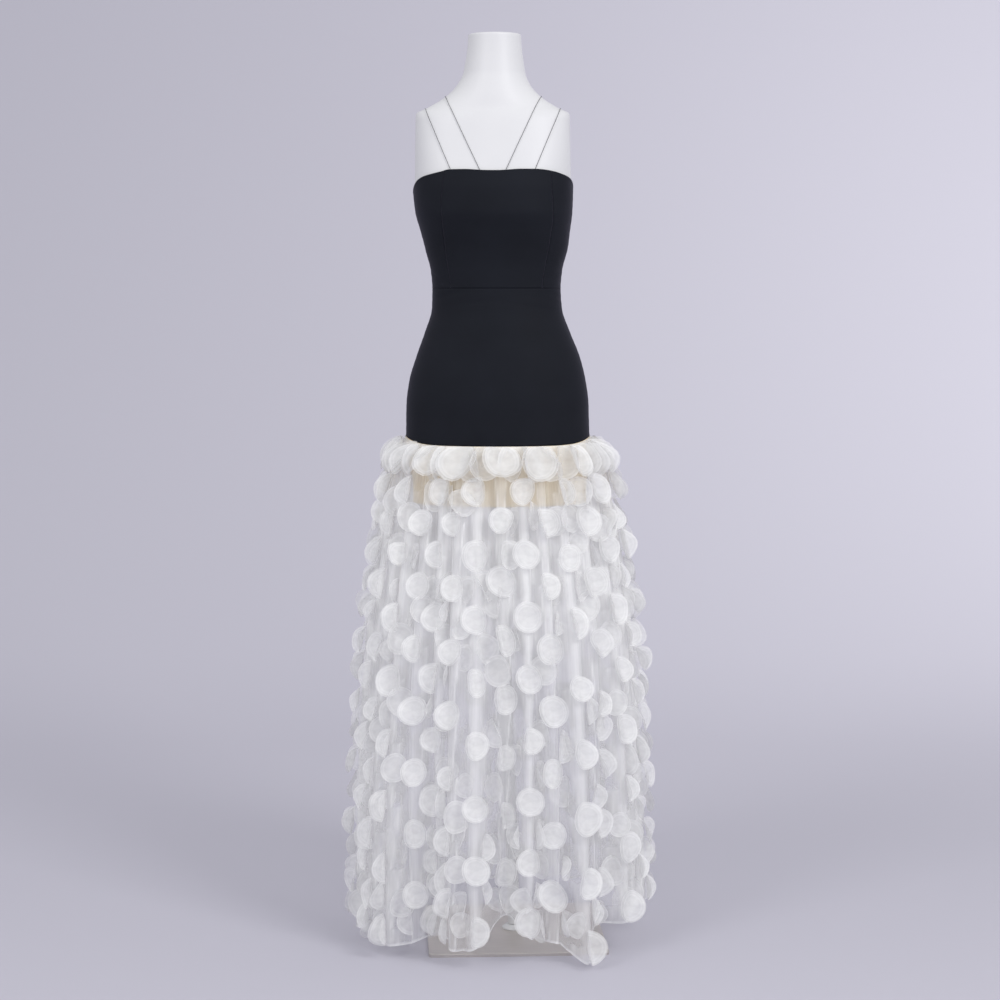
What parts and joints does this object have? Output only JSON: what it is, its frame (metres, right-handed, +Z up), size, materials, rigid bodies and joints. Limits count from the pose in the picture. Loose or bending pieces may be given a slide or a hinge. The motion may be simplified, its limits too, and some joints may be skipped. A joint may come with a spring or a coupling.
{
  "type": "strapless maxi dress on a limbless dress form and stand",
  "caption": "Strapless column dress with a fitted black bodice and hips, four hair-thin shoulder cords and a sheer floor-length skirt covered in round organza appliques, on a limbless form with a plate stand.",
  "frame": {"origin": "the point of the base plate's underside, on the floor, that lies under the middle of the dress", "axes": "+Z up, -Y towards the front of the dress, +X to the right as seen from the front"},
  "size_m": [0.5724, 0.5515, 1.6275],
  "materials": {
    "crepe": "matte black crepe",
    "organza": "sheer ivory organza",
    "applique": "layered organza",
    "lining": "satin cream lining",
    "zip_tape": "woven black tape",
    "zip_metal": "black enamel",
    "form": "white lacquer",
    "steel": "brushed"
  },
  "bodies": {
    "root": {"dress_form": "form", "stand_plate": "steel", "stand_flange": "form", "stand_pole": "form", "zip_chain": "zip_tape", "zip_slider": "zip_metal", "slip": "lining", "skirt_front": "organza", "skirt_back": "organza", "bodice_front": "crepe", "bodice_side_left": "crepe", "bodice_side_right": "crepe", "bodice_back_left": "crepe", "bodice_back_right": "crepe", "hip_front": "crepe", "hip_back_left": "crepe", "hip_back_right": "crepe", "disc_column_01": "applique", "disc_column_02": "applique", "disc_column_03": "applique", "disc_column_04": "applique", "disc_column_05": "applique", "disc_column_06": "applique", "disc_column_07": "applique", "disc_column_08": "applique", "disc_column_09": "applique", "disc_column_10": "applique", "disc_column_11": "applique", "disc_column_12": "applique", "disc_column_13": "applique", "disc_column_14": "applique", "disc_column_15": "applique", "disc_column_16": "applique", "disc_column_17": "applique", "disc_column_18": "applique", "disc_column_19": "applique", "disc_column_20": "applique", "disc_column_21": "applique", "disc_column_22": "applique", "disc_column_23": "applique", "disc_column_24": "applique", "disc_column_25": "applique", "disc_column_26": "applique", "disc_column_27": "applique", "disc_column_28": "applique", "disc_column_29": "applique", "disc_column_30": "applique", "disc_column_31": "applique", "disc_column_32": "applique", "shoulder_cord_inner_left": "crepe", "shoulder_cord_inner_right": "crepe", "shoulder_cord_outer_left": "crepe", "shoulder_cord_outer_right": "crepe"}
  },
  "joints": []
}
